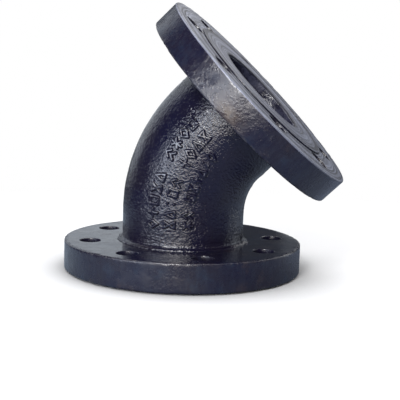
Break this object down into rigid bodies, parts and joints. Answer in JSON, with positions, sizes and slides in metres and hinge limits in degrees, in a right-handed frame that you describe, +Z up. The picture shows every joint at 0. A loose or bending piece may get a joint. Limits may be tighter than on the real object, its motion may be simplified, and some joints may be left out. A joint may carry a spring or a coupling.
{
  "type": "pipe elbow",
  "caption": "Heavy cast-iron 45-degree pipe elbow that turns a bolted water line, with a drilled round flange and a raised gasket face at each end.",
  "frame": {"origin": "middle of the bounding box's underside; the base flange's joint face is in the plane Z = 0 and its axis is the vertical line X = -20.961 mm, Y = 0", "axes": "+Z up along the base flange's axis, away from its joint face; the bend lies in the XZ plane and the outlet points 45 degrees up towards +X"},
  "size_m": [0.296, 0.254, 0.2832],
  "materials": {
    "black_paint": "semi-gloss bluish-black coating over sand-cast iron",
    "machined_face": "machined with fine concentric grooves, thinly coated"
  },
  "bodies": {
    "root": {"elbow_body": "black_paint", "base_flange": "black_paint", "outlet_flange": "black_paint", "base_raised_face": "machined_face", "outlet_raised_face": "machined_face"}
  },
  "joints": []
}
